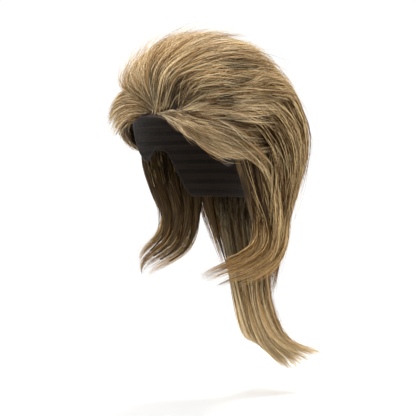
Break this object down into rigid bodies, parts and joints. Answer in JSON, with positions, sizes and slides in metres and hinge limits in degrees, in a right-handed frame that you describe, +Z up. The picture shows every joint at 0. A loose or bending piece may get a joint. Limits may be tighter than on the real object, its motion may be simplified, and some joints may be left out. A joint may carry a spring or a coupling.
{
  "type": "mullet wig",
  "caption": "Feathered mullet wig: a close cap with hair swept back over the crown, a side-swept fringe, temple wings, side locks and a long flipped nape tail.",
  "frame": {"origin": "the top of the wearer's head, where the inside of the cap rests on it", "axes": "+Z up out of the top of the head; the wearer faces -Y; +X is the wearer's left"},
  "size_m": [0.2067, 0.2888, 0.4385],
  "materials": {
    "cap_cloth": "dark close-knit stretch cloth",
    "hair_crown": "fine synthetic hair, dark blond with pale streaks, soft sheen",
    "hair_wing": "fine synthetic hair, dark blond, soft sheen",
    "hair_side": "fine synthetic hair, light brown with blond streaks",
    "hair_back": "fine synthetic hair, light brown, soft sheen",
    "hair_tail": "fine synthetic hair, light brown at the root and pale blond at the tips"
  },
  "bodies": {
    "root": {"cap": "cap_cloth", "nape_tail": "hair_tail", "side_lock_left": "hair_side", "side_lock_right": "hair_side", "back_hair": "hair_back", "wing_left": "hair_wing", "wing_right": "hair_wing", "crown_hair": "hair_crown", "fringe": "hair_crown"}
  },
  "joints": []
}
